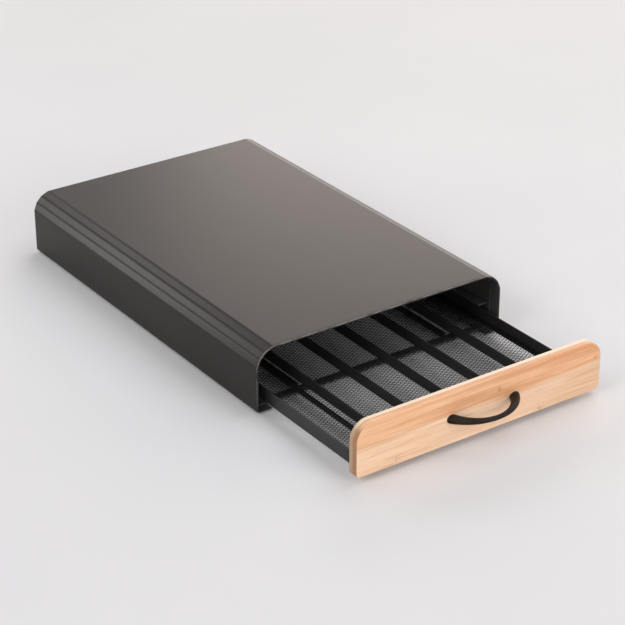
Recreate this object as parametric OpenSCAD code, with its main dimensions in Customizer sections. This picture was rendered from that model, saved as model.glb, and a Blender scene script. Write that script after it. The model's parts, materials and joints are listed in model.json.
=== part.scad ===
// Coffee capsule keeper: a low sheet-steel cover with a six-lane mesh drawer and a bamboo front.
// Millimetres, +Z up. The drawer opens towards -Y and is drawn partly open.
// Origin: on the table, in the middle of the whole outline with the drawer in that place.

/* [Cover] */
// Width over the side walls
cover_w = 250; // [246:1:280]
// Depth from the hemmed front edge to the rear edge
cover_d = 372; // [340:1:420]
// Height of the top above the table
cover_h = 57.8; // [56:0.1:70]
// Thickness of the steel sheet
sheet_t = 1; // [0.8:0.1:1.2]
// Radius of the upper corners, which are bent in flats
corner_r = 15.5; // [12:0.5:18]
// Flats in each upper corner
corner_flats = 2; // [2:1:4]
// Depth of the hem folded back inside the front edge
hem_d = 12.5; // [8:0.5:14]
// Width of the flanges turned in under the side walls
flange_w = 14.3; // [13:0.1:16]

/* [Rear panel] */
// Distance of the rear panel from the rear edge
rear_inset = 2; // [1:0.5:4]
// Depth of the rear panel's welding flange
rear_flange_d = 8; // [5:0.5:12]

/* [Base frame] */
// Width of the two cross sills
sill_w = 7; // [6:0.5:12]
// Thickness of the sills
sill_t = 1.5; // [1:0.1:1.7]
// Distance of the front sill from the front edge, and of the rear sill from the rear edge
sill_inset = 8.5; // [4:0.5:10]
// Distance of each base rail's middle from the centre line
rail_x = 76.5; // [70:0.5:85]
// Width of a base rail
rail_w = 3; // [2:0.5:6]
// Height of a base rail
rail_h = 4.2; // [1.5:0.1:5]

/* [Feet] */
// Height of the rubber feet
foot_h = 1.5; // [1:0.1:2]
// Diameter of the rubber feet
foot_dia = 11; // [8:0.5:13]
// Distance of the feet from the front and rear edges
foot_inset = 24; // [18:1:60]

/* [Runners] */
// Reach of the runner's ledge from the cover's side wall
ledge_reach = 20.5; // [17:0.5:20.5]
// Height of the runner's upright leg
runner_leg = 9; // [6:0.5:11]
// Thickness of the guide bars
guide_t = 2; // [1.5:0.5:3]
// Gap between the drawer and the runner below it, and the guide above it
runner_gap = 0.4; // [0.3:0.05:0.5]
// Distance of the runners and guides from the front edge
runner_inset = 16; // [15:0.5:24]

/* [Drawer] */
// Distance that the drawer stands out, from the cover's front edge to the back of the front panel
drawer_out = 120.5; // [20:0.5:180]
// Distance between the middles of neighbouring lanes
lane_pitch = 38.4; // [38:0.1:39]
// Height of the mesh floor's upper side above the table
floor_z = 10.7; // [10.5:0.1:12]
// Height of the side walls' and dividers' upper edge above the table
wall_top = 20.5; // [18:0.1:24]
// Thickness of the solid strips of the drawer
strip_t = 1; // [0.8:0.1:1.2]
// Thickness of the mesh floor
floor_t = 0.8; // [0.6:0.1:1]
// Width of the straps welded under the floor beside the outermost dividers
strap_w = 4.8; // [3:0.1:5]
// Width of the straps welded under the floor beside the side walls
edge_strap_w = 2.4; // [2:0.1:4]
// Thickness of the straps
strap_t = 1.5; // [1:0.1:1.8]
// Distance of a strap's middle from the outermost divider
strap_from_divider = 7; // [5:0.5:12]
// Distance of a strap's middle from the side wall
strap_from_wall = 2.8; // [2.6:0.1:6]
// Further opening before the stop tabs meet the front sill
opening_left = 105; // [60:1:120]

/* [Mesh floor] */
// Diamond openings across the drawer
mesh_across = 8; // [6:1:12]
// Diamond openings along the drawer
mesh_along = 22; // [16:1:30]
// Width of the strands between the openings
strand_w = 2.4; // [1.2:0.1:3]
// Width of the plain border
mesh_border = 1.5; // [1:0.1:3]

/* [Front panel] */
// Gap at each side between the bamboo front and the hem when the drawer is shut
panel_gap = 0.9; // [0.5:0.1:3]
// Height of the bamboo front
panel_h = 45.4; // [40:0.1:47]
// Thickness of the bamboo front
panel_t = 10; // [8:0.5:12]
// Height of the bamboo front's lower edge above the table
panel_z = 5; // [4.5:0.1:6]
// Radius of the two upper corners of the front
panel_r_top = 15.5; // [12:0.5:20]
// Radius of the two lower corners of the front
panel_r_low = 4; // [2:0.5:8]

/* [Handle] */
// Distance between the two handle screws
handle_span = 64; // [64:32:96]
// Distance of the bow's middle from the front, at its centre line
handle_rise = 18.7; // [16:0.1:24]
// Half height of the bow's section in the middle and at the ends
handle_half_h = [2, 3.9]; // [1.8:0.1:5]
// Half thickness of the bow's section in the middle and at the ends
handle_half_t = [2, 4.5]; // [1.8:0.1:5]

/* [Hidden] */
$fn = 48;

steel_dark = [0.29, 0.27, 0.25];
steel_black = [0.06, 0.06, 0.065];
bamboo = [0.89, 0.68, 0.49];
bronze_black = [0.12, 0.09, 0.08];
zinc = [0.72, 0.72, 0.70];
rubber_black = [0.05, 0.05, 0.05];

// Lengthwise places, front to back
handle_reach = handle_rise + handle_half_t[0];
front_y = (drawer_out + panel_t + handle_reach - cover_d)/2;
rear_y = front_y + cover_d;
panel_back_y = front_y - drawer_out;
panel_front_y = panel_back_y - panel_t;
rear_panel_y = rear_y - rear_inset - sheet_t;
rear_wall_gap = 0.5;
tray_d = cover_d - rear_inset - sheet_t - rear_wall_gap - panel_t;
tray_rear_y = panel_back_y + tray_d;
runner_end_y = rear_panel_y - rear_flange_d - rear_wall_gap;
front_sill_y = front_y + sill_inset;
rear_sill_y = rear_y - sill_inset - sill_w;
stop_gap = 0.5;
stop_y = front_sill_y + sill_w + stop_gap + opening_left;

// Heights
flange_top = foot_h + sheet_t;
sill_top = flange_top + sill_t;
floor_low = floor_z - floor_t;
strap_low = floor_low - strap_t;
ledge_z = strap_low - runner_gap;
wall_low = strap_low;
guide_z = wall_top + runner_gap;

// Crosswise places
lane_count = 6;
outer_lane_x = (lane_count - 1)*lane_pitch/2;
wall_x = lane_count*lane_pitch/2;
wall_in = wall_x - strip_t/2;
wall_out = wall_x + strip_t/2;
strap_xs = [wall_x - lane_pitch + strap_from_divider, wall_x - strap_from_wall];
strap_ws = [strap_w, edge_strap_w];
runner_in = cover_w/2 - sheet_t;
bead_r = 0.6;
panel_w = cover_w - 4*sheet_t - 2*panel_gap;

// Handle: a circular bow that meets the front a little inside its screws and closes there in domes
handle_z = panel_z + panel_h/2;
bow_inset = 0.6;
bow_half_span = handle_span/2 - bow_inset;
bow_r = (bow_half_span*bow_half_span + handle_rise*handle_rise)/(2*handle_rise);
bow_half_angle = asin(bow_half_span/bow_r);
bow_centre_y = panel_front_y - handle_rise + bow_r;
bow_rings = 33;
bow_sides = 20;
dome_angle = 7.2;
dome_start = bow_half_angle/(bow_half_angle + dome_angle);
dome_close = 0.9;
flare_power = 1.7;
boss_r = 3.2;
boss_l = 4;

// Screws, and the plate behind the front that they go through
thread_r = 2;
thread_gap = 0.05;
thread_depth = 3.5;
hole_gap = 0.3;
screw_hole_r = thread_r + hole_gap;
panel_screw_x = 96;
panel_screw_r = 1.6;
panel_screw_l = 6.5;
panel_screw_z = handle_z - 2;
tip_gap = 0.5;
handle_screw_xs = [-handle_span/2, handle_span/2];
panel_screw_xs = [-panel_screw_x, panel_screw_x];
plate_rise = 9;
plate_top = handle_z + plate_rise;
plate_r = 6;

// Stop tabs
stop_tab_w = 11;
stop_tab_foot = 9;
stop_tab_low = flange_top + stop_gap;

// Overrun that carries a cut clear through a face
cut = 1;

// Runs a flat outline, drawn in X and Z, from y0 to y1
module run_y(y0, y1) {
    translate([0, y1, 0])
        rotate([90, 0, 0])
            linear_extrude(height = y1 - y0)
                children();
}

// A block between two opposite corners
module block(low, high) {
    translate(low)
        cube(high - low);
}

// Draws its children on the left (-1) or right (1) side
module on_side(side) {
    if (side < 0) mirror([1, 0, 0]) children();
    else children();
}

// Creases of the right upper corner, for a skin set in by a given amount
function corner_points(inset) = [
    for (i = [0:corner_flats])
        let (a = 90*i/corner_flats)
        [cover_w/2 - corner_r + (corner_r - inset)*cos(a),
         cover_h - corner_r + (corner_r - inset)*sin(a)]
];

// The same points on the left side, in the other order
function mirrored(points) = [for (i = [len(points) - 1:-1:0]) [-points[i][0], points[i][1]]];

// Closed outline of the cover's arch, set in by a given amount, down to a given height
function arch(inset, low) = concat(
    [[cover_w/2 - inset, low]],
    corner_points(inset),
    mirrored(corner_points(inset)),
    [[-cover_w/2 + inset, low]]
);

// Band between two arches
module arch_band(outer, inner, low) {
    difference() {
        polygon(arch(outer, low));
        polygon(arch(inner, low - cut));
    }
}

// Bent cover: top, flat-bent corners, side walls, bottom flanges and the folded front hem
module cover_shell() color(steel_dark) {
    run_y(front_y, rear_y) {
        arch_band(0, sheet_t, foot_h);
        for (side = [-1, 1])
            on_side(side)
                translate([cover_w/2 - flange_w, foot_h])
                    square([flange_w, sheet_t]);
    }
    run_y(front_y, front_y + hem_d)
        arch_band(sheet_t, 2*sheet_t, flange_top);
}

// Rear closing plate with a flange welded inside the cover
module rear_panel() color(steel_dark) {
    run_y(rear_panel_y, rear_panel_y + sheet_t)
        polygon(arch(sheet_t, flange_top));
    run_y(rear_panel_y - rear_flange_d, rear_panel_y)
        arch_band(sheet_t, 2*sheet_t, flange_top);
}

// Flat cross strip on the bottom flanges
module sill(y) color(steel_black)
    block([-runner_in + 2*sheet_t, y, flange_top], [runner_in - 2*sheet_t, y + sill_w, sill_top]);

// Narrow bar that ties the two sills
module base_rail(side) color(steel_black)
    on_side(side)
        block([rail_x - rail_w/2, front_sill_y + sill_w, flange_top],
              [rail_x + rail_w/2, rear_sill_y, flange_top + rail_h]);

// Angle bar along the cover's side wall, whose ledge carries the drawer
module runner(side) color(steel_black)
    on_side(side)
        run_y(front_y + runner_inset, runner_end_y) {
            translate([runner_in - ledge_reach, ledge_z - sheet_t])
                square([ledge_reach, sheet_t]);
            translate([runner_in - sheet_t, ledge_z - sheet_t])
                square([sheet_t, runner_leg]);
        }

// Flat bar above the drawer's side wall, which keeps the open drawer from tipping
module guide(side) color(steel_black)
    on_side(side)
        block([wall_in, front_y + runner_inset, guide_z], [runner_in, runner_end_y, guide_z + guide_t]);

// Rubber pad under a bottom flange
module foot(side, y) color(rubber_black)
    on_side(side)
        translate([cover_w/2 - flange_w/2, y, 0])
            cylinder(d = foot_dia, h = foot_h);

// Flat diamond with given half lengths across and along
module diamond(half_x, half_y)
    polygon([[half_x, 0], [0, half_y], [-half_x, 0], [0, -half_y]]);

// Staggered diamond openings of a mesh, over a given width and length
module mesh_openings(width, length) {
    half_x = width/mesh_across/2;
    half_y = length/mesh_along/2;
    shrink = 1 - strand_w/2*norm([half_x, half_y])/(half_x*half_y);
    intersection() {
        translate([mesh_border, mesh_border])
            square([width - 2*mesh_border, length - 2*mesh_border]);
        for (i = [0:2*mesh_across], j = [0:2*mesh_along])
            if ((i + j) % 2 == 1)
                translate([i*half_x, j*half_y])
                    diamond(shrink*half_x, shrink*half_y);
    }
}

// Mesh floor of the drawer
module tray_floor() color(steel_black) {
    length = tray_rear_y - panel_back_y - 2*strip_t;
    translate([-wall_in, panel_back_y + strip_t, floor_low])
        linear_extrude(height = floor_t)
            difference() {
                square([2*wall_in, length]);
                mesh_openings(2*wall_in, length);
            }
}

// Upright strip with a rounded upper edge, from y0 to y1
module upright_strip(x, low, y0, y1)
    run_y(y0, y1)
        translate([x, 0]) {
            translate([-strip_t/2, low])
                square([strip_t, wall_top - bead_r - low]);
            translate([0, wall_top - bead_r])
                circle(r = bead_r);
        }

// Solid outer strip of the drawer
module side_wall(side) color(steel_black)
    on_side(side)
        upright_strip(wall_x, wall_low, panel_back_y + strip_t, tray_rear_y - strip_t);

// Low strip between two lanes
module divider(index) color(steel_black)
    upright_strip((index - lane_count/2)*lane_pitch, floor_z,
                  panel_back_y + strip_t, tray_rear_y - strip_t);

// Strip across the back of the drawer
module tray_rear_wall() color(steel_black)
    block([-wall_out, tray_rear_y - strip_t, wall_low], [wall_out, tray_rear_y, wall_top]);

// Round bar or hole along Y
module round_y(x, z, r, y0, y1) {
    translate([x, y1, z])
        rotate([90, 0, 0])
            cylinder(r = r, h = y1 - y0);
}

// Upright plate that the front panel and the handle are screwed to
module tray_front_plate() color(steel_black)
    difference() {
        run_y(panel_back_y, panel_back_y + strip_t) {
            translate([-wall_out, wall_low])
                square([2*wall_out, plate_top - plate_r - wall_low]);
            translate([-wall_out + plate_r, wall_low])
                square([2*(wall_out - plate_r), plate_top - wall_low]);
            for (side = [-1, 1])
                translate([side*(wall_out - plate_r), plate_top - plate_r])
                    circle(r = plate_r);
        }
        for (x = handle_screw_xs)
            round_y(x, handle_z, screw_hole_r, panel_back_y - cut, panel_back_y + strip_t + cut);
        for (x = panel_screw_xs)
            round_y(x, panel_screw_z, panel_screw_r + hole_gap,
                    panel_back_y - cut, panel_back_y + strip_t + cut);
    }

// Flat strap under the floor of an outer lane, at a given distance from the centre line
module strap(side, x, width) color(steel_black)
    on_side(side)
        block([x - width/2, panel_back_y + strip_t, strap_low],
              [x + width/2, tray_rear_y - strip_t, floor_low]);

// Bent tab under the floor that meets the front sill when the drawer is fully open
module stop_tab(side) color(steel_black)
    on_side(side) {
        x0 = outer_lane_x - stop_tab_w/2;
        x1 = outer_lane_x + stop_tab_w/2;
        block([x0, stop_y, stop_tab_low], [x1, stop_y + strip_t, floor_low]);
        block([x0, stop_y, floor_low - strip_t], [x1, stop_y + stop_tab_foot, floor_low]);
    }

// Bamboo front with large upper and small lower corners
module front_panel() color(bamboo)
    difference() {
        run_y(panel_front_y, panel_back_y)
            panel_outline();
        for (x = handle_screw_xs)
            round_y(x, handle_z, screw_hole_r, panel_front_y - cut, panel_back_y + cut);
        for (x = panel_screw_xs)
            round_y(x, panel_screw_z, panel_screw_r, panel_back_y - panel_screw_l, panel_back_y + cut);
    }

// Outline of the bamboo front, in X and Z
module panel_outline() {
    half = panel_w/2;
    top = panel_z + panel_h;
    translate([-half, panel_z + panel_r_low])
        square([panel_w, panel_h - panel_r_low - panel_r_top]);
    translate([-half + panel_r_low, panel_z])
        square([panel_w - 2*panel_r_low, panel_h - panel_r_top]);
    translate([-half + panel_r_top, panel_z + panel_r_low])
        square([panel_w - 2*panel_r_top, panel_h - panel_r_low]);
    for (side = [-1, 1]) {
        translate([side*(half - panel_r_low), panel_z + panel_r_low])
            circle(r = panel_r_low);
        translate([side*(half - panel_r_top), top - panel_r_top])
            circle(r = panel_r_top);
    }
}

// Pan-head screw along Y, driven towards the front: shank to tip_y, head resting at seat_y
module pan_screw(x, z, r, tip_y, seat_y) {
    head_r = 1.95*r;
    head_h = 1.2*r;
    slot_w = 0.5*r;
    difference() {
        union() {
            round_y(x, z, r, tip_y, seat_y);
            translate([x, seat_y, z])
                rotate([-90, 0, 0])
                    rotate_extrude()
                        intersection() {
                            translate([0, -head_r + head_h])
                                circle(r = 1.35*head_r);
                            square([head_r, head_h]);
                        }
        }
        for (turn = [0, 90])
            translate([x, seat_y + head_h, z])
                rotate([0, turn, 0])
                    cube([1.2*head_r, head_h, slot_w], center = true);
    }
}

// Two wood screws through the front plate into the bamboo
module panel_screws() color(zinc)
    for (x = panel_screw_xs)
        pan_screw(x, panel_screw_z, panel_screw_r - thread_gap, panel_back_y - panel_screw_l + tip_gap,
                  panel_back_y + strip_t);

// Two machine screws through plate and bamboo into the handle
module handle_screws() color(zinc)
    for (x = handle_screw_xs)
        pan_screw(x, handle_z, thread_r, panel_front_y - thread_depth + tip_gap, panel_back_y + strip_t);

// Share of the full section at s: all of it up to the front, then closing like a dome
function dome(s) =
    let (past = max(0, (abs(s) - dome_start)/(1 - dome_start)))
    sqrt(1 - dome_close*past*past);

// Half size at s, from the pair's first in the middle of the bow to its second where it meets the front
function half_size(pair, s) =
    dome(s)*(pair[0] + (pair[1] - pair[0])*pow(min(1, abs(s)/dome_start), flare_power));

// Point of the bow: s runs from -1 to 1 along it, a goes round its section
function bow_point(s, a) =
    let (turn = s*(bow_half_angle + dome_angle),
         r = bow_r + half_size(handle_half_t, s)*cos(a))
    [r*sin(turn), bow_centre_y - r*cos(turn), handle_z + half_size(handle_half_h, s)*sin(a)];

// Rings of the bow, closer together towards the domes
bow_points = [
    for (i = [0:bow_rings - 1], j = [0:bow_sides - 1])
        bow_point(sin(180*i/(bow_rings - 1) - 90), 360*j/bow_sides)
];

bow_faces = concat(
    [[for (j = [bow_sides - 1:-1:0]) j]],
    [[for (j = [0:bow_sides - 1]) (bow_rings - 1)*bow_sides + j]],
    [for (i = [0:bow_rings - 2], j = [0:bow_sides - 1])
        let (k = (j + 1) % bow_sides)
        [i*bow_sides + j, i*bow_sides + k, (i + 1)*bow_sides + k, (i + 1)*bow_sides + j]]
);

// Bow handle, flared towards its two domed ends, with a threaded hole in each
module handle() color(bronze_black)
    difference() {
        union() {
            polyhedron(points = bow_points, faces = bow_faces);
            for (x = handle_screw_xs)
                round_y(x, handle_z, boss_r, panel_front_y - boss_l, panel_front_y);
        }
        block([-panel_w/2, panel_front_y, panel_z], [panel_w/2, panel_back_y, panel_z + panel_h]);
        for (x = handle_screw_xs)
            round_y(x, handle_z, thread_r + thread_gap, panel_front_y - thread_depth, panel_front_y + cut);
    }

cover_shell();
rear_panel();
sill(front_sill_y);  // front_sill
sill(rear_sill_y);  // rear_sill
base_rail(-1);  // base_rail_left
base_rail(1);  // base_rail_right
runner(-1);  // runner_left
runner(1);  // runner_right
guide(-1);  // guide_left
guide(1);  // guide_right
foot(-1, front_y + foot_inset);  // foot_front_left
foot(1, front_y + foot_inset);  // foot_front_right
foot(-1, rear_y - foot_inset);  // foot_rear_left
foot(1, rear_y - foot_inset);  // foot_rear_right
tray_floor();
side_wall(-1);  // side_wall_left
side_wall(1);  // side_wall_right
tray_rear_wall();
tray_front_plate();
for (i = [1:lane_count - 1])
    divider(i);
for (i = [0, 1]) {
    strap(-1, strap_xs[i], strap_ws[i]);
    strap(1, strap_xs[i], strap_ws[i]);
}
stop_tab(-1);  // stop_tab_left
stop_tab(1);  // stop_tab_right
front_panel();
panel_screws();
handle();
handle_screws();
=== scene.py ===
"""Looks of a low keeper for coffee capsules: bent steel cover, mesh drawer, bamboo front, bow handle.

Metres, +Z up; the drawer opens towards -Y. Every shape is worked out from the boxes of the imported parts.
"""

import json
import math

import bmesh
import bpy
import numpy as np
from mathutils import Matrix, Vector


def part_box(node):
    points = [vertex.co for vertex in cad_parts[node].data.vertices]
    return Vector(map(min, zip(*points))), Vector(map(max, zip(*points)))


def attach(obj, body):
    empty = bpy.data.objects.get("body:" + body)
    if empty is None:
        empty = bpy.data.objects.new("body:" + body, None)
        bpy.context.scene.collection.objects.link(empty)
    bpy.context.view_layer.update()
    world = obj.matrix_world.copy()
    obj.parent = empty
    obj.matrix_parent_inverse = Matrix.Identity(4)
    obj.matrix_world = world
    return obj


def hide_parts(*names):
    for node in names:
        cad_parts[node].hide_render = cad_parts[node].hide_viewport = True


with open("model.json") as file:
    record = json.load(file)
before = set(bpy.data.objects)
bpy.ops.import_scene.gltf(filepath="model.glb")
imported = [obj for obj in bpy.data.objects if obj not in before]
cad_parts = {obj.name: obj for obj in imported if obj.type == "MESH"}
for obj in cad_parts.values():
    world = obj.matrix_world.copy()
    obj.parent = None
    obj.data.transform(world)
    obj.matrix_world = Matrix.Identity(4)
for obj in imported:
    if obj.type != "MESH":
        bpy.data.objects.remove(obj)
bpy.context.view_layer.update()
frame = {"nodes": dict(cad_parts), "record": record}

MM = 0.001

# The photograph's camera: place in metres, directions, focal length and frame in pixels
CAMERA_AT = (-0.9005, -1.2987, 0.8246)
CAMERA_RIGHT = (0.8196, -0.5730, -0.0015)
CAMERA_FORWARD = (0.5086, 0.7287, -0.4586)
FOCAL_PX = 2045.1
FRAME_PX = 625
SENSOR_MM = 36.0

FAR_CLIP = 50.0

# Points closer than this are one point
MERGE_WITHIN = 0.002*MM

# Cover sheet: thickness, broken edges, upper corners and their creases, flange under the walls, rear rim
SHEET = 1.0*MM
EDGE_BREAK = 0.25*MM
CORNER_R = 15.5*MM
CREASE_R = 9.0*MM
MIDDLE_CUT = 4.06*MM
CORNER_MARGIN = 3.0*MM
FLANGE_W = 14.3*MM
FLANGE_BEND_R = 1.6*MM
RIM_GAP = 0.01*MM

# Front hem: its depth, the rolled nose, and the first place behind the nose that is flat
HEM_DEPTH = 12.5*MM
NOSE_LENGTH = 1.3*MM
NOSE_BEHIND = 4.0*MM

# Painted highlight along the nose, broken up like wear: where it lies by the angle round the nose, its reach,
# and its share on the walls and on the raw edge of the hem, where it is a painted glint
HIGHLIGHT_MIDDLE = math.radians(140)
HIGHLIGHT_REACH = math.radians(22)
WALL_HIGHLIGHT = 0.4
HEM_GLINT = 0.9

# The inside's painted lightening fades out round the nose, in radians
INNER_END = 1.68
INNER_SPAN = 1.4

# Expanded mesh: diamond size across and along the lanes, strand width, sheet thickness, strand tilt
DIAMOND_ACROSS = 6.05*MM
DIAMOND_ALONG = 3.22*MM
STRAND_W = 0.45*MM
MESH_SHEET = 0.3*MM
STRAND_TILT = 0.15*MM

# Bamboo front
BOARD_R_TOP = 15.5*MM
BOARD_R_LOW = 4.0*MM
BOARD_FRONT_ROUND = 1.0*MM
BOARD_BACK_ROUND = 1.2*MM
BOARD_RIM = 0.6*MM

# Bow handle: half span where it meets the board, half sections in the middle and at the ends
BOW_HALF_SPAN = 31.4*MM
BOW_HALF_H = (2.0*MM, 3.9*MM)
BOW_HALF_T = (2.0*MM, 4.5*MM)
BOW_FLARE = 1.7
DOME_LENGTH = 4.5*MM

# Rubber pads: rounded edge, dish below, and the dish's radii as shares of the pad's
PAD_ROUND = 0.5*MM
PAD_DISH = 0.25*MM
PAD_DISH_R = (0.55, 0.7)

# Stage: half the floor's side in metres, and the share of white that lights the object from all round
FLOOR_HALF = 6.0
AMBIENT = 0.35

# Soft boxes: name, place, aim, width and height in metres, power in watts, colour
OBJECT_AIM = (0.0, 0.0, 0.0)
BACK_AIM = (0.0, 0.05, 0.05)
CORNER_AIM = (-0.12, 0.07, 0.05)
FRONT_AIM = (0.0, -0.15, 0.03)
TOP_AIM = (0.0, -0.05, 0.0)
COOL_WHITE = (0.98, 0.98, 1.0)
STRIP_WHITE = (1.0, 0.97, 0.94)
LAMPS = (
    ("back_box", (2.97, 2.54, 1.2), BACK_AIM, 2.9, 1.8, 56.0, (1.0, 0.85, 0.77)),
    ("high_strip", (-0.12, 1.40, 1.12), CORNER_AIM, 0.3, 0.3, 1.9, STRIP_WHITE),
    ("side_strip", (-0.87, 1.40, 0.81), CORNER_AIM, 0.3, 0.3, 3.8, STRIP_WHITE),
    ("low_strip", (-1.19, 1.40, 0.15), CORNER_AIM, 0.3, 0.26, 3.4, STRIP_WHITE),
    ("fill_box", (-1.7, -0.4, 1.3), OBJECT_AIM, 1.0, 1.0, 10.5, COOL_WHITE),
    ("front_box", (0.55, -1.8, 0.75), FRONT_AIM, 1.0, 1.0, 10.5, (1.0, 0.97, 0.95)),
    ("left_front_box", (-1.0, -1.9, 0.45), FRONT_AIM, 0.7, 0.7, 7.0, (1.0, 0.98, 0.96)),
    ("top_box", (0.95, -0.05, 1.6), TOP_AIM, 1.5, 1.5, 9.5, COOL_WHITE),
)


# Shader values

class Shade:
    """An output of a shader node; arithmetic on it adds Math nodes to the same material."""

    def __init__(self, tree, output):
        self.tree = tree
        self.output = output

    def node(self, kind, settings=None, inputs=None, out=0):
        """Adds a node: its settings first, then its inputs by socket name or number."""
        made = self.tree.nodes.new(kind)
        for key, value in (settings or {}).items():
            setattr(made, key, value)
        for key, value in (inputs or {}).items():
            if isinstance(value, Shade):
                self.tree.links.new(value.output, made.inputs[key])
            else:
                made.inputs[key].default_value = value
        return Shade(self.tree, made.outputs[out])

    def maths(self, operation, *values):
        return self.node("ShaderNodeMath", {"operation": operation}, dict(enumerate(values)))

    def __add__(self, other):
        return self.maths("ADD", self, other)

    def __radd__(self, other):
        return self.maths("ADD", other, self)

    def __sub__(self, other):
        return self.maths("SUBTRACT", self, other)

    def __rsub__(self, other):
        return self.maths("SUBTRACT", other, self)

    def __mul__(self, other):
        return self.maths("MULTIPLY", self, other)

    def __rmul__(self, other):
        return self.maths("MULTIPLY", other, self)

    def __truediv__(self, other):
        return self.maths("DIVIDE", self, other)

    def step(self, low, high):
        """Rises smoothly from 0 at low to 1 at high."""
        return self.node("ShaderNodeMapRange", {"interpolation_type": "SMOOTHSTEP"},
                         {"Value": self, "From Min": low, "From Max": high})

    def bell(self, centre, half):
        """A bump of height 1 at centre that is about a third at half away."""
        away = (self - centre)/half
        return self.maths("EXPONENT", -1.0*(away*away))

    def mix(self, first, second):
        """Colour between first, where this value is 0, and second, where it is 1."""
        return self.node("ShaderNodeMix", {"data_type": "RGBA"}, {0: self, 6: first, 7: second}, out=2)

    def stretch(self, scale):
        """These coordinates scaled along each axis."""
        return self.node("ShaderNodeMapping", {}, {"Vector": self, "Scale": scale})

    def noise(self, scale, detail=2.0, rough=0.5):
        return self.node("ShaderNodeTexNoise", {},
                         {"Vector": self, "Scale": scale, "Detail": detail, "Roughness": rough})

    def axes(self):
        """The three coordinates as separate values."""
        split = self.node("ShaderNodeSeparateXYZ", {}, {0: self})
        outputs = split.output.node.outputs
        return [Shade(self.tree, outputs[i]) for i in range(3)]

    def bump(self, strength, distance):
        return self.node("ShaderNodeBump", {},
                         {"Height": self, "Strength": strength, "Distance": distance})


def rgb(red, green, blue):
    return (red, green, blue, 1.0)


def start_material(name, **even):
    """A material with one Principled shader. Values that are the same all over go on its own sockets."""
    made = bpy.data.materials.new(name)
    made.use_nodes = True
    tree = made.node_tree
    shader = tree.nodes["Principled BSDF"]
    for key, value in even.items():
        shader.inputs[key.replace("_", " ")].default_value = value
    place = tree.nodes.new("ShaderNodeTexCoord").outputs["Object"]

    def feed(**links):
        for key, shade in links.items():
            tree.links.new(shade.output, shader.inputs[key.replace("_", " ")])
        return made

    return Shade(tree, place), feed


def cover_coat():
    """Satin brown-grey powder coat: soft patches, a fine grain and a slight orange peel.

    The attribute rub marks the front fold and the raw edge of the hem, where a thin light line is painted on:
    a painted highlight, broken up in places like wear. A second attribute marks the inside, which is painted
    a
    lighter, greyer tone: painted light in the shaded cavity.
    """
    place, feed = start_material("cover_coat", IOR=1.5, Specular_IOR_Level=0.14)
    # Share of the painted highlight on the fold and the painted glint on the hem's raw edge
    rub = place.node("ShaderNodeAttribute", {"attribute_name": "rub"}, out=2)
    inner = place.node("ShaderNodeAttribute", {"attribute_name": "inner"}, out=2)
    patch = place.noise(9, detail=3)
    peel = place.noise(620, detail=1)
    grain = place.noise(2600, detail=2, rough=0.7)
    # Painted highlight: a thin light line on the front fold, broken up by noise like wear
    painted_fold_highlight = rub*place.noise(90, detail=3).step(0.25, 0.62)
    tone = patch.step(0.3, 0.7).mix(rgb(0.019, 0.0165, 0.0150), rgb(0.025, 0.0215, 0.0195))
    tone = (0.5*grain.step(0.56, 0.72)).mix(tone, rgb(0.046, 0.040, 0.036))
    # Painted light: the shaded inside is painted a lighter grey than the outside
    tone = inner.mix(tone, rgb(0.075, 0.0735, 0.072))
    colour = painted_fold_highlight.mix(tone, rgb(0.27, 0.262, 0.255))
    roughness = 0.26 + 0.04*patch + 0.06*grain
    height = 0.7*peel + 0.3*grain
    return feed(Base_Color=colour, Roughness=roughness, Normal=height.bump(0.25, 0.06*MM))


def strip_coat(name, dark, pale):
    """Satin powder coat on strip steel between two greys, with a fine grain and a few paler rubs."""
    place, feed = start_material(name, IOR=1.5, Specular_IOR_Level=0.3)
    patch = place.noise(30, detail=3)
    grain = place.noise(2200, detail=2, rough=0.7)
    rub = place.stretch((260, 14, 260)).noise(1.0, detail=3).step(0.62, 0.78)
    tone = patch.step(0.3, 0.7).mix(rgb(dark, dark, 1.02*dark), rgb(pale, pale, 1.02*pale))
    colour = (0.5*grain.step(0.55, 0.75) + 0.3*rub).mix(tone, rgb(1.7*pale, 1.7*pale, 1.75*pale))
    roughness = 0.40 + 0.10*patch - 0.08*rub
    return feed(Base_Color=colour, Roughness=roughness, Normal=grain.bump(0.3, 0.05*MM))


def mesh_coat():
    """Black coat on the mesh strands, more matte than on the strips."""
    place, feed = start_material("mesh_coat", IOR=1.5, Specular_IOR_Level=0.04)
    patch = place.noise(45, detail=2)
    grain = place.noise(1800, detail=1)
    dusty = 0.6*grain.step(0.5, 0.8) + 0.2*patch
    colour = dusty.mix(rgb(0.005, 0.005, 0.0053), rgb(0.022, 0.022, 0.023))
    return feed(Base_Color=colour, Roughness=0.55 + 0.14*patch, Normal=grain.bump(0.3, 0.05*MM))


def bronze_lacquer():
    """Dark bronze lacquer on the handle, browner in soft random patches."""
    place, feed = start_material("bronze_lacquer", IOR=1.5, Specular_IOR_Level=0.14)
    patch = place.noise(70, detail=4, rough=0.6)
    speck = place.noise(1500, detail=2)
    tone = patch.step(0.42, 0.72).mix(rgb(0.010, 0.007, 0.006), rgb(0.026, 0.016, 0.011))
    colour = (0.4*speck.step(0.58, 0.75)).mix(tone, rgb(0.06, 0.038, 0.027))
    height = 0.6*patch + 0.4*speck
    return feed(Base_Color=colour, Roughness=0.30 + 0.2*patch, Normal=height.bump(0.25, 0.06*MM))


def zinc_plate():
    """Zinc-plated screw steel with faint turning marks."""
    place, feed = start_material("zinc_plate", Metallic=1.0)
    patch = place.noise(500, detail=3)
    colour = patch.step(0.3, 0.7).mix(rgb(0.52, 0.52, 0.50), rgb(0.66, 0.66, 0.63))
    return feed(Base_Color=colour, Roughness=0.28 + 0.2*patch, Normal=patch.bump(0.2, 0.03*MM))


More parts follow.
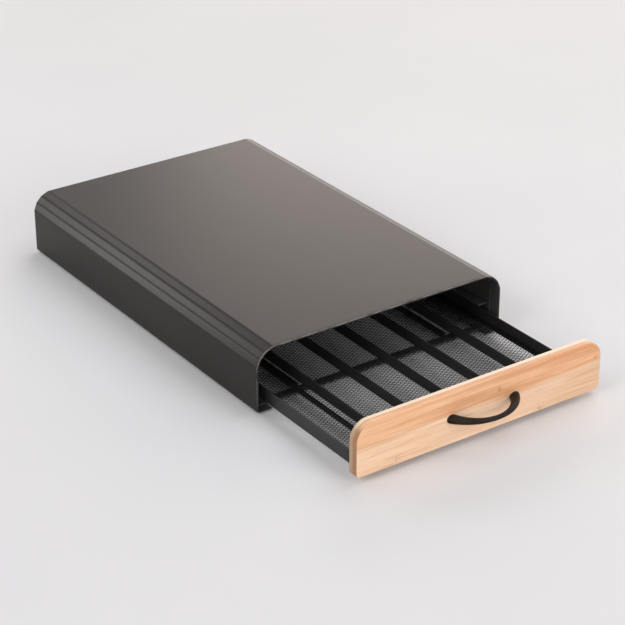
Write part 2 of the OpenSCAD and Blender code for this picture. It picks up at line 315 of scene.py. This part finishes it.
def pad_rubber():
    """Matte black rubber with a dusty grain."""
    place, feed = start_material("pad_rubber", IOR=1.45)
    grain = place.noise(900, detail=3)
    colour = grain.step(0.35, 0.7).mix(rgb(0.018, 0.018, 0.018), rgb(0.035, 0.034, 0.033))
    return feed(Base_Color=colour, Roughness=0.75 + 0.15*grain, Normal=grain.bump(0.4, 0.1*MM))


# Bamboo pattern, measured from the board's lower left front corner: node marks and their half size, the edge
# between the lamellas, where the lower one dulls, where the end grain and painted shade on the ends start,
# and where the painted light along the top edge begins
NODE_MARKS = ((37.8*MM, 5.5*MM), (180.5*MM, 2.5*MM), (238*MM, 31.0*MM), (137.5*MM, 33.0*MM))
NODE_HALF = (2.0*MM, 2.4*MM)
LAMELLA_EDGE = 26.5*MM
LAMELLA_BLUR = 2.0*MM
LOWER_DULLS = (110*MM, 240*MM)
END_GRAIN_START = (0.3*MM, 3.0*MM)
LIT_TOP_BELOW = (7.0*MM, 0.8*MM)

# Plies, measured from the front: where the face ends, the front ply's thickness, the glue line
FACE_ENDS = (0.15*MM, 0.5*MM)
FRONT_PLY = 5.2*MM
PLY_BLUR = 0.25*MM
GLUE_HALF = 0.45*MM


def bamboo_lacquer(low, high):
    """Clear-lacquered laminated bamboo: fibres along X, an orange lamella above a paler one, and node marks.

    Seen from its edges it is two plies: a front one, brown on its end grain, glued to a back one, which is
    pale along the top. The brown on the ends is partly end grain and partly painted shade; the pale top edge
    is painted light.
    """
    place, feed = start_material("bamboo_lacquer", IOR=1.5, Coat_Roughness=0.25, Coat_Weight=0.10)
    x, y, z = place.axes()
    x = x - low[0]
    y = y - low[1]
    z = z - low[2]
    board_height = high[2] - low[2]
    fibre = place.stretch((16, 560, 560)).noise(1.0, detail=5, rough=0.65)
    streak = place.stretch((6, 120, 120)).noise(1.0, detail=3, rough=0.55)
    cloud = place.stretch((9, 45, 45)).noise(1.0, detail=2)
    fleck = place.stretch((60, 1000, 1000)).noise(1.0, detail=2).step(0.60, 0.74)

    ragged_z = z + 9.0*MM*(streak - 0.5) + 5.0*MM*(fibre - 0.5)
    above = ragged_z.step(LAMELLA_EDGE - LAMELLA_BLUR, LAMELLA_EDGE + LAMELLA_BLUR)
    lower = streak.step(0.3, 0.72).mix(rgb(0.95, 0.68, 0.47), rgb(0.86, 0.55, 0.35))
    upper = streak.step(0.34, 0.66).mix(rgb(0.91, 0.52, 0.285), rgb(0.72, 0.335, 0.15))
    lower = (0.6*x.step(*LOWER_DULLS)).mix(lower, rgb(0.72, 0.45, 0.27))
    tone = above.mix(lower, upper)
    tone = (0.62*fibre.step(0.50, 0.72)).mix(tone, rgb(0.62, 0.31, 0.145))
    tone = (0.45*(1.0 - fibre.step(0.30, 0.46))).mix(tone, rgb(1.0, 0.78, 0.57))
    tone = (0.35*cloud.step(0.5, 0.75)).mix(tone, rgb(0.97, 0.76, 0.56))
    tone = (0.25*fleck).mix(tone, rgb(0.42, 0.21, 0.10))

    ragged = place.stretch((520, 520, 900)).noise(1.0, detail=3, rough=0.7).step(0.40, 0.66)
    marks = None
    for mark_x, mark_z in NODE_MARKS:
        mark = x.bell(mark_x, NODE_HALF[0])*z.bell(mark_z, NODE_HALF[1])
        marks = mark if marks is None else marks + mark
    node = marks*ragged
    tone = (0.8*node).mix(tone, rgb(0.36, 0.18, 0.08))

    # Painted light on the edges: a paler top edge, and ends darker partly from end grain, partly painted
    # shade
    top = z.step(board_height - LIT_TOP_BELOW[0], board_height - LIT_TOP_BELOW[1])
    end_grain_and_shade = z.step(*END_GRAIN_START)*(1.0 - top)
    front_ply = end_grain_and_shade.mix(tone, rgb(0.36, 0.175, 0.08))
    back_ply = (0.35*fibre.step(0.45, 0.75)).mix(rgb(0.46, 0.295, 0.175), rgb(0.32, 0.175, 0.09))
    back_ply = top.mix(back_ply, rgb(0.86, 0.67, 0.48))
    edge = (y - FRONT_PLY).step(-PLY_BLUR, PLY_BLUR).mix(front_ply, back_ply)
    edge = (0.6*y.bell(FRONT_PLY, GLUE_HALF)).mix(edge, rgb(0.42, 0.22, 0.10))
    tone = y.step(*FACE_ENDS).mix(tone, edge)

    roughness = 0.38 + 0.14*fibre + 0.1*fleck
    height = 0.55*fibre + 0.25*streak - 0.4*fleck - 0.5*node
    return feed(Base_Color=tone, Roughness=roughness, Normal=height.bump(0.25, 0.10*MM))


def floor_tone():
    """Pale satin table top with a very faint mottle."""
    place, feed = start_material("floor_tone", IOR=1.4, Specular_IOR_Level=0.2)
    mottle = place.noise(3.0, detail=3)
    colour = mottle.step(0.3, 0.7).mix(rgb(0.79, 0.792, 0.812), rgb(0.82, 0.822, 0.84))
    return feed(Base_Color=colour, Roughness=0.6 + 0.1*mottle)


# Meshes

def grid_quads(rows, cols, wrap_rows=False, wrap_cols=False):
    """Corner numbers of the quads of a grid stored row by row; a wrapped side closes on itself."""
    row = np.arange(rows if wrap_rows else rows - 1)[:, None]
    col = np.arange(cols if wrap_cols else cols - 1)[None, :]
    next_row = (row + 1) % rows
    next_col = (col + 1) % cols
    corners = (row*cols + col, row*cols + next_col, next_row*cols + next_col, next_row*cols + col)
    return np.stack(np.broadcast_arrays(*corners), -1).reshape(-1, 4)


def make_piece(name, points, faces, material, body, replaced, marks=None):
    """A mesh object at the origin from points and lists of equal-sided faces, riding on a body.

    marks names attributes of its points, such as shares of wear, for its material.
    """
    mesh = bpy.data.meshes.new(name)
    sides = np.concatenate([np.full(len(group), group.shape[1]) for group in faces])
    corners = np.concatenate([group.ravel() for group in faces])
    mesh.vertices.add(len(points))
    mesh.vertices.foreach_set("co", np.asarray(points, np.float32).ravel())
    mesh.loops.add(len(corners))
    mesh.loops.foreach_set("vertex_index", corners.astype(np.int32))
    mesh.polygons.add(len(sides))
    mesh.polygons.foreach_set("loop_start", (np.cumsum(sides) - sides).astype(np.int32))
    mesh.update(calc_edges=True)
    for mark, share in (marks or {}).items():
        attribute = mesh.attributes.new(mark, "FLOAT", "POINT")
        attribute.data.foreach_set("value", share.astype(np.float32).ravel())
    mesh.validate()
    mesh.materials.append(material)
    made = bpy.data.objects.new(name, mesh)
    bpy.context.scene.collection.objects.link(made)
    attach(made, body)
    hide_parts(*replaced)
    return made


def close_up(made, sharp_angle):
    """Merges points that coincide, turns the faces outwards, and shades smoothly below an angle."""
    work = bmesh.new()
    work.from_mesh(made.data)
    bmesh.ops.remove_doubles(work, verts=work.verts, dist=MERGE_WITHIN)
    bmesh.ops.dissolve_degenerate(work, edges=work.edges, dist=MERGE_WITHIN)
    bmesh.ops.recalc_face_normals(work, faces=work.faces)
    work.to_mesh(made.data)
    work.free()
    made.data.polygons.foreach_set("use_smooth", np.ones(len(made.data.polygons), bool))
    made.data.set_sharp_from_angle(angle=math.radians(sharp_angle))
    return made


def arc(start, end, count):
    return np.radians(np.linspace(start, end, count))


def bent_path(edges, turns, radii):
    """Marks along a path of straight edges joined by arcs, and the heading at each mark.

    An arc of radius r that turns by t takes r tan(t/2) off both edges and is r t long.
    """
    taken = radii*np.tan(turns/2)
    straight = edges - np.append(taken, 0) - np.insert(taken, 0, 0)
    lengths = np.zeros(2*len(turns) + 1)
    lengths[0::2] = straight
    lengths[1::2] = radii*turns
    marks = np.insert(np.cumsum(lengths), 0, 0)
    heading = np.insert(np.repeat(np.cumsum(turns), 2), 0, [0, 0])
    return marks, heading


def cover_half(width, height, low):
    """Right half of the cover's outline from the middle of the top to the flange's edge.

    The corner is two chords of an arc, with the edge between them cut to a third flat, so the heading turns
    down by four equal bends; then it turns under the wall. The place is the sum of the heading's direction
    along the path. Returns places (X, Z), inward normals and which points lie on the flange.
    """
    bend = math.pi/8
    flat = 2*CORNER_R*math.sin(bend) - MIDDLE_CUT
    edges = np.array([width/2 - CORNER_R, flat, 2*MIDDLE_CUT*math.cos(bend), flat, height - CORNER_R - low,
                      FLANGE_W])
    turns = np.array([bend, bend, bend, bend, math.pi/2])
    radii = np.array([CREASE_R, CREASE_R, CREASE_R, CREASE_R, FLANGE_BEND_R])
    marks, heading = bent_path(edges, turns, radii)
    fine = np.linspace(0, marks[-1], 24000)
    turn = np.interp(fine, marks, heading)
    step = fine[1] - fine[0]
    along_x = np.concatenate([[0], np.cumsum(np.cos((turn[1:] + turn[:-1])/2))*step])
    along_z = height - np.concatenate([[0], np.cumsum(np.sin((turn[1:] + turn[:-1])/2))*step])
    creases = (marks[1:-3:2] + marks[2:-3:2])/2
    wall_end = marks[-3]
    corner = np.linspace(creases[0] - CORNER_MARGIN, creases[-1] + CORNER_MARGIN, 91)
    samples = np.concatenate([
        np.linspace(0, corner[0], 12)[:-1], corner, np.linspace(corner[-1], wall_end, 8)[1:-1],
        np.linspace(wall_end, marks[-2], 9), np.linspace(marks[-2], marks[-1], 4)[1:]])
    turn = np.interp(samples, marks, heading)
    places = np.stack([np.interp(samples, fine, along_x), np.interp(samples, fine, along_z)], 1)
    inward = -np.stack([np.sin(turn), np.cos(turn)], 1)
    return places, inward, samples > wall_end


def both_sides(half, mirror):
    """Values along a half outline, from its right end to the middle and on to the mirrored left end."""
    return np.concatenate([half[::-1], half[1:]*mirror])


def cover_skin(material):
    """Bent cover: an edge profile of place along Y and depth below the surface, carried along the outline.

    The profile folds back inside the front edge as a hem. Under the walls the flange has no hem, so there
    the depth stops at one sheet.
    """
    low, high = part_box("cover_shell")
    front, rear = low[1], high[1]
    places, inward, flange = cover_half(high[0] - low[0], high[2], low[2])
    places = both_sides(places, (-1, 1))
    inward = both_sides(inward, (-1, 1))
    flange = both_sides(flange, True)

    fold = arc(0, 180, 17)
    edge = EDGE_BREAK
    hem_end = front + HEM_DEPTH
    nose = np.stack([front + NOSE_LENGTH*(1 - np.sin(fold)), SHEET*(1 + np.cos(fold))], 1)
    outside = np.array([
        [front + NOSE_BEHIND, 0], [hem_end, 0], [(front + rear)/2, 0], [rear - 4*edge, 0], [rear - edge, 0],
        [rear, edge]])
    inside = np.array([
        [rear, SHEET - edge], [rear - edge, SHEET], [rear - 4*edge, SHEET], [hem_end, SHEET],
        [hem_end, 2*SHEET - edge], [hem_end - edge, 2*SHEET], [hem_end - 5*edge, 2*SHEET],
        [hem_end - 6*edge, 2*SHEET]])
    profile = np.concatenate([nose, outside, inside])
    # Painted highlight on the fold, strongest where the nose faces up, weaker on the walls; painted glint on
    # the hem's raw edge
    rub = np.zeros(len(profile))
    rub[:len(fold)] = np.exp(-((fold - HIGHLIGHT_MIDDLE)/HIGHLIGHT_REACH)**2)
    rub = rub*(WALL_HIGHLIGHT + (1 - WALL_HIGHLIGHT)*np.clip(-inward[:, 1:], 0, 1))
    rub[:, -4:-1] = HEM_GLINT
    # Where the inside is painted lighter, as painted light in its shade
    inner = np.concatenate([
        np.clip((INNER_END - fold)/INNER_SPAN, 0, 1), np.zeros(len(outside)), np.ones(len(inside))])
    depth = np.where(flange[:, None], np.minimum(profile[:, 1], SHEET), profile[:, 1])
    points = np.zeros((len(places), len(profile), 3))
    points[:, :, 0] = places[:, 0, None] + inward[:, 0, None]*depth
    points[:, :, 1] = profile[:, 0]
    points[:, :, 2] = places[:, 1, None] + inward[:, 1, None]*depth
    rows, cols = points.shape[:2]
    caps = np.stack([np.arange(cols), (rows - 1)*cols + np.arange(cols)])
    made = make_piece("cover_skin", points.reshape(-1, 3), [grid_quads(rows, cols, wrap_cols=True), caps],
                      material, "cover", ["cover_shell"],
                      marks={"rub": rub, "inner": np.broadcast_to(inner, (rows, cols))})
    return close_up(made, sharp_angle=50)


def rear_plate(material):
    """Plate that closes the back: the cover's outline set in by one sheet and cut off level at its foot.

    A rim, a second sheet of the same outline, is turned forward from it.
    """
    low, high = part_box("rear_panel")
    cover_low, cover_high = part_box("cover_shell")
    places, inward, flange = cover_half(cover_high[0] - cover_low[0], cover_high[2], cover_low[2])
    kept = ~flange & (places[:, 1] > low[2])
    places = np.concatenate([places[kept], [[cover_high[0], low[2]]]])
    inward = np.concatenate([inward[kept], [[-1, 0]]])
    places = both_sides(places, (-1, 1))
    inward = both_sides(inward, (-1, 1))

    def carried(section):
        """Points of a section of (inset, Y) carried along the outline."""
        inset, y = np.array(section).T
        x = places[:, 0, None] + inward[:, 0, None]*inset
        z = places[:, 1, None] + inward[:, 1, None]*inset
        return np.stack([x, np.broadcast_to(y, x.shape), z], -1)

    edge = EDGE_BREAK
    face_y = high[1] - SHEET
    plate = carried([(SHEET, face_y), (SHEET, high[1] - edge), (SHEET + edge, high[1]),
                     (SHEET + 4*edge, high[1])])
    rim_y = face_y - RIM_GAP
    rim = carried([(SHEET, low[1]), (2*SHEET, low[1]), (2*SHEET, rim_y), (SHEET, rim_y)])
    plate = plate.transpose(1, 0, 2)
    stations = len(places)
    rim_start = plate.shape[0]*stations
    plate_ends = np.stack([np.arange(stations), 3*stations + np.arange(stations)])
    rim_ends = rim_start + np.stack([np.arange(4), 4*(stations - 1) + np.arange(4)])
    quads = np.concatenate([grid_quads(4, stations, wrap_cols=True),
                            rim_start + grid_quads(stations, 4, wrap_cols=True), rim_ends])
    made = make_piece("rear_plate", np.concatenate([plate.reshape(-1, 3), rim.reshape(-1, 3)]),
                      [quads, plate_ends], material, "cover", ["rear_panel"])
    return close_up(made, sharp_angle=50)


def mesh_sheet(name, x0, x1, y0, y1, middle_z, material):
    """Expanded metal as a closed sheet: a lattice of diamonds, each with a six-sided hole.

    Points with even i + j are where strands cross, those with odd i + j are the middles of holes. A hole is
    the diamond shrunk by half a strand with its sharp ends cut off. Its near side is lowered and its far side
    raised, which tilts the strands. Diamonds on the border are cut in half by it.
    """
    columns = 2*round((x1 - x0)/DIAMOND_ACROSS)
    rows = 2*round((y1 - y0)/DIAMOND_ALONG)
    half_x = (x1 - x0)/columns
    half_y = (y1 - y0)/rows
    reach = half_x*half_y/math.hypot(half_x, half_y)
    shrink = 1 - STRAND_W/2/reach
    blunt = 0.16
    rim = 0.6*STRAND_W

    i, j = np.meshgrid(np.arange(columns + 1), np.arange(rows + 1))
    i, j = i.ravel(), j.ravel()
    lattice = np.stack([x0 + i*half_x, y0 + j*half_y, np.full(len(i), middle_z)], 1)
    holes = (i + j) % 2 == 1
    i, j = i[holes], j[holes]

    def number(column, row):
        """Number of the lattice point there, or of the nearest one on the border."""
        return np.clip(row, 0, rows)*(columns + 1) + np.clip(column, 0, columns)

    right, far, left, near = number(i + 1, j), number(i, j + 1), number(i - 1, j), number(i, j - 1)

    hole_x = shrink*half_x*np.array([1 - blunt, 0, blunt - 1, blunt - 1, 0, 1 - blunt])
    hole_y = shrink*half_y*np.array([blunt, 1, blunt, -blunt, -1, -blunt])
    hole = np.zeros((len(i), 6, 3))
    hole[:, :, 0] = np.clip(lattice[holes, 0, None] + hole_x, x0 + rim, x1 - rim)
    hole[:, :, 1] = np.clip(lattice[holes, 1, None] + hole_y, y0 + rim, y1 - rim)
    hole[:, :, 2] = middle_z + STRAND_TILT*hole_y/(shrink*half_y)

    lift = np.array([0, 0, MESH_SHEET/2])
    base = np.concatenate([lattice, hole.reshape(-1, 3)])
    points = np.concatenate([base + lift, base - lift])
    under = len(base)
    h = len(lattice) + np.arange(len(i))[:, None]*6 + np.arange(6)
    quads = np.concatenate([
        np.stack([right, far, h[:, 1], h[:, 0]], 1), np.stack([far, left, h[:, 2], h[:, 1]], 1),
        np.stack([left, near, h[:, 4], h[:, 3]], 1), np.stack([near, right, h[:, 5], h[:, 4]], 1)])
    tips = np.concatenate([np.stack([left, h[:, 3], h[:, 2]], 1), np.stack([right, h[:, 0], h[:, 5]], 1)])
    turned = np.roll(h, -1, axis=1)
    walls = np.stack([h, turned, turned + under, h + under], -1).reshape(-1, 4)
    border = np.concatenate([
        number(np.arange(columns), 0), number(columns, np.arange(rows)),
        number(np.arange(columns, 0, -1), rows), number(0, np.arange(rows, 0, -1))])
    following = np.roll(border, -1)
    rims = np.stack([border + under, following + under, following, border], 1)
    faces = [np.concatenate([quads, quads[:, ::-1] + under, walls, rims]),
             np.concatenate([tips, tips[:, ::-1] + under])]

    used = np.unique(np.concatenate([group.ravel() for group in faces]))
    place_of = np.zeros(len(points), int)
    place_of[used] = np.arange(len(used))
    return make_piece(name, points[used], [place_of[group] for group in faces], material,
                      "drawer", ["tray_floor"])


def board_outline(low, high, inset, count=14):
    """The board's outline in X and Z, set in: two large upper and two small lower corner arcs."""
    corners = ((1, 1, BOARD_R_TOP, 0), (-1, 1, BOARD_R_TOP, 90),
               (-1, -1, BOARD_R_LOW, 180), (1, -1, BOARD_R_LOW, 270))
    middle_x = (low[0] + high[0])/2
    middle_z = (low[2] + high[2])/2
    half_x = (high[0] - low[0])/2
    half_z = (high[2] - low[2])/2
    rings = []
    for side_x, side_z, radius, start in corners:
        a = arc(start, start + 90, count)
        x = middle_x + side_x*(half_x - radius) + (radius - inset)*np.cos(a)
        z = middle_z + side_z*(half_z - radius) + (radius - inset)*np.sin(a)
        rings.append(np.stack([x, z], 1))
    return np.concatenate(rings)


def front_board(material):
    """Bamboo front: the outline, set in by a quarter round at both faces, carried from back to front."""
    low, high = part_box("front_panel")
    a = arc(0, 90, 9)
    insets = np.concatenate([[BOARD_BACK_ROUND + BOARD_RIM], BOARD_BACK_ROUND*(1 - np.sin(a)),
                             BOARD_FRONT_ROUND*(1 - np.cos(a)), [BOARD_FRONT_ROUND + BOARD_RIM]])
    ys = np.concatenate([[high[1]], high[1] - BOARD_BACK_ROUND*(1 - np.cos(a)),
                         low[1] + BOARD_FRONT_ROUND*(1 - np.sin(a)), [low[1]]])
    rings = np.stack([board_outline(low, high, inset) for inset in insets])
    rows, cols = rings.shape[:2]
    points = np.stack([rings[:, :, 0], np.broadcast_to(ys[:, None], (rows, cols)), rings[:, :, 1]], -1)
    caps = np.stack([np.arange(cols), (rows - 1)*cols + np.arange(cols)])
    made = make_piece("bamboo_front", points.reshape(-1, 3), [grid_quads(rows, cols, wrap_cols=True), caps],
                      material, "drawer", ["front_panel"])
    return close_up(made, sharp_angle=30)


def bow_handle(material):
    """Bow handle: an ellipse carried along a circular arc and growing towards the board as a power of the
    distance from the middle; past the board it would close like a dome. Each line along the bow is followed
    to where it meets the board."""
    low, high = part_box("handle")
    board_y = high[1]
    middle_z = (low[2] + high[2])/2
    rise = high[1] - low[1] - BOW_HALF_T[0]
    radius = (BOW_HALF_SPAN**2 + rise**2)/(2*rise)
    half_angle = math.asin(BOW_HALF_SPAN/radius)
    around = arc(0, 360, 41)[:-1]

    def surface(turn):
        past = np.clip((np.abs(turn) - half_angle)*radius/DOME_LENGTH, 0, 1)
        grow = np.minimum(np.abs(turn)/half_angle, 1)**BOW_FLARE
        share = np.sqrt(1 - past**2)
        half_t = share*(BOW_HALF_T[0] + (BOW_HALF_T[1] - BOW_HALF_T[0])*grow)
        half_h = share*(BOW_HALF_H[0] + (BOW_HALF_H[1] - BOW_HALF_H[0])*grow)
        distance = radius + half_t*np.cos(around)
        x = distance*np.sin(turn)
        y = np.minimum(board_y - rise + radius - distance*np.cos(turn), board_y)
        return np.stack([x, y, middle_z + half_h*np.sin(around)], -1)

    fine = np.linspace(0, half_angle + DOME_LENGTH/radius, 2000)
    meets = fine[np.argmax(surface(fine[:, None])[:, :, 1] >= board_y, axis=0)]
    points = surface(np.sin(arc(-90, 90, 97))[:, None]*meets)
    rows, cols = points.shape[:2]
    caps = np.stack([np.arange(cols), (rows - 1)*cols + np.arange(cols)])
    made = make_piece("bow_handle", points.reshape(-1, 3), [grid_quads(rows, cols, wrap_cols=True), caps],
                      material, "drawer", ["handle"])
    return close_up(made, sharp_angle=40)


def foot_pad(node, material):
    """Rubber pad: a turned profile with rounded edges and a shallow dish below."""
    low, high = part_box(node)
    radius = (high[0] - low[0])/2
    thick = high[2] - low[2]
    a = arc(0, 90, 5)
    r = np.concatenate([[0, radius*PAD_DISH_R[0], radius*PAD_DISH_R[1]],
                        radius - PAD_ROUND*(1 - np.sin(a)), [radius, 0]])
    z = np.concatenate([[PAD_DISH, PAD_DISH, 0], PAD_ROUND*(1 - np.cos(a)), [thick, thick]])
    around = arc(0, 360, 37)[:-1]
    points = np.stack([
        (low[0] + high[0])/2 + r[:, None]*np.cos(around),
        (low[1] + high[1])/2 + r[:, None]*np.sin(around),
        np.broadcast_to(z[:, None], (len(r), len(around)))], -1)
    made = make_piece(node + "_pad", points.reshape(-1, 3), [grid_quads(len(r), len(around), wrap_cols=True)],
                      material, "cover", [node])
    return close_up(made, sharp_angle=40)


# The object

coat = cover_coat()
black = strip_coat("black_coat", 0.017, 0.025)
# A lighter copy of the black coat: painted light for strips lying in shade inside the cover
grey = strip_coat("black_coat_painted_light", 0.052, 0.068)
strand = mesh_coat()
bronze = bronze_lacquer()
zinc = zinc_plate()
rubber = pad_rubber()
bamboo = bamboo_lacquer(*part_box("front_panel"))

cover_skin(coat)
rear_plate(coat)
front_board(bamboo)
bow_handle(bronze)
floor_low, floor_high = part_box("tray_floor")
floor_z = (floor_low[2] + floor_high[2])/2
mesh_sheet("tray_mesh_left", floor_low[0], 0.0, floor_low[1], floor_high[1], floor_z, strand)
mesh_sheet("tray_mesh_right", 0.0, floor_high[0], floor_low[1], floor_high[1], floor_z, strand)
for place in ("front_left", "front_right", "rear_left", "rear_right"):
    foot_pad("foot_" + place, rubber)

SLOT_FINISH = {"cover_paint": coat, "black_steel": black, "zinc": zinc}
# These parts lie in shade inside the cover and get the lighter copy of the black coat: painted light
LIGHTENED_IN_SHADE = ("guide_left", "guide_right", "runner_left", "runner_right", "front_sill", "rear_sill")
for subpart in frame["record"]["subparts"]:
    name = subpart["node"]
    finish = grey if name in LIGHTENED_IN_SHADE else SLOT_FINISH.get(subpart["material_slot"])
    if finish:
        materials = frame["nodes"][name].data.materials
        materials.clear()
        materials.append(finish)


# Stage, lamps and camera

def table_floor():
    """One large level square under the object."""
    half = FLOOR_HALF
    corners = [(-half, -half, 0), (half, -half, 0), (half, half, 0), (-half, half, 0)]
    mesh = bpy.data.meshes.new("table_floor")
    mesh.from_pydata(corners, [], [(0, 1, 2, 3)])
    mesh.materials.append(floor_tone())
    made = bpy.data.objects.new("table_floor", mesh)
    bpy.context.scene.collection.objects.link(made)


def soft_lamp(name, at, aim, width, height, power, colour):
    """A soft box at a place, turned towards a point."""
    data = bpy.data.lights.new(name, "AREA")
    data.shape = "RECTANGLE"
    data.size = width
    data.size_y = height
    data.energy = power
    data.color = colour
    made = bpy.data.objects.new(name, data)
    made.location = at
    made.rotation_euler = (Vector(aim) - Vector(at)).to_track_quat("-Z", "Y").to_euler()
    bpy.context.scene.collection.objects.link(made)


def studio_world():
    """Even soft light all round, seen as white by the camera and in reflections."""
    world = bpy.data.worlds.new("studio")
    bpy.context.scene.world = world
    world.use_nodes = True
    tree = world.node_tree
    back = tree.nodes["Background"]
    path = tree.nodes.new("ShaderNodeLightPath").outputs
    camera = Shade(tree, path["Is Camera Ray"])
    glossy = Shade(tree, path["Is Glossy Ray"])
    clear = Shade(tree, path["Is Transmission Ray"])
    seen = camera.maths("MINIMUM", camera + glossy + clear, 1.0)
    strength = AMBIENT + (1.0 - AMBIENT)*seen
    back.inputs["Color"].default_value = rgb(1.0, 0.99, 0.98)
    tree.links.new(strength.output, back.inputs["Strength"])


def photo_camera():
    """The camera at the photograph's place, level and angle of view."""
    forward = Vector(CAMERA_FORWARD).normalized()
    right = Vector(CAMERA_RIGHT)
    right = (right - right.dot(forward)*forward).normalized()
    up = right.cross(forward)
    turn = Matrix((right, up, -forward)).transposed().to_4x4()
    data = bpy.data.cameras.new("photo_camera")
    data.sensor_width = SENSOR_MM
    data.lens = FOCAL_PX*SENSOR_MM/FRAME_PX
    data.clip_end = FAR_CLIP
    made = bpy.data.objects.new("photo_camera", data)
    made.matrix_world = Matrix.Translation(CAMERA_AT) @ turn
    bpy.context.scene.collection.objects.link(made)
    bpy.context.scene.camera = made


table_floor()
studio_world()
for lamp in LAMPS:
    soft_lamp(*lamp)
photo_camera()
bpy.context.scene.view_settings.view_transform = "Standard"
